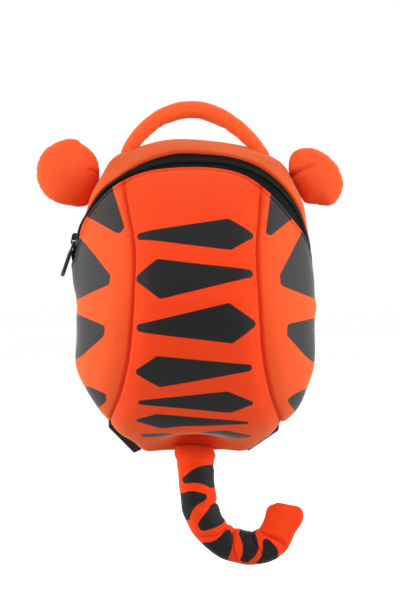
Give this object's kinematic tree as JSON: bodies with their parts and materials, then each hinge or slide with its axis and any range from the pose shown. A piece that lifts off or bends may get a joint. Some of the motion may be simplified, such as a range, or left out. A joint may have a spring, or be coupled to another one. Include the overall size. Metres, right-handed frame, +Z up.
{
  "type": "plush tiger backpack",
  "caption": "Small child's padded backpack shaped as a tiger, with round ears, a stuffed tail, an arched zip over the front panel, a carrying handle and shoulder straps worn on the back.",
  "frame": {"origin": "middle of the back panel's outer face, where the bag lies on the wearer's back", "axes": "+Z up along the bag, +Y out of the back towards the wearer, +X to the right as the front is seen"},
  "size_m": [0.2497, 0.1447, 0.3764],
  "materials": {
    "orange_cloth": "matt woven cloth over thin padding, printed with black stripes",
    "orange_plush": "soft brushed cloth, stuffed",
    "strap_cloth": "matt woven cloth over foam",
    "back_mesh": "plain knitted padding mesh",
    "zip_cloth": "woven zip tape",
    "zip_coil": "nylon coil",
    "zip_metal": "black enamel",
    "webbing": "ribbed webbing",
    "black_plastic": "moulded, fine grain"
  },
  "bodies": {
    "bag": {"back_panel": "back_mesh", "centre_panel": "orange_cloth", "side_panel_left": "orange_cloth", "side_panel_right": "orange_cloth", "gusset": "orange_cloth", "zip_tape": "zip_cloth", "zip_chain": "zip_coil", "zip_slider": "zip_metal", "handle": "orange_cloth", "ear_left": "orange_plush", "ear_right": "orange_plush", "tail": "orange_plush", "strap_left": "strap_cloth", "strap_right": "strap_cloth", "webbing_left": "webbing", "webbing_right": "webbing", "adjuster_left": "black_plastic", "adjuster_right": "black_plastic", "corner_tab_left": "webbing", "corner_tab_right": "webbing"},
    "zip_pull": {"zip_puller": "black_plastic"}
  },
  "joints": [
    {"name": "zip_pull_swing", "type": "hinge", "parent": "bag", "child": "zip_pull", "pos_m": [-0.09755, -0.04181, 0.04594], "axis": [-0.1347, 0.987, 0.0878], "range_deg": [0, 140]}
  ]
}
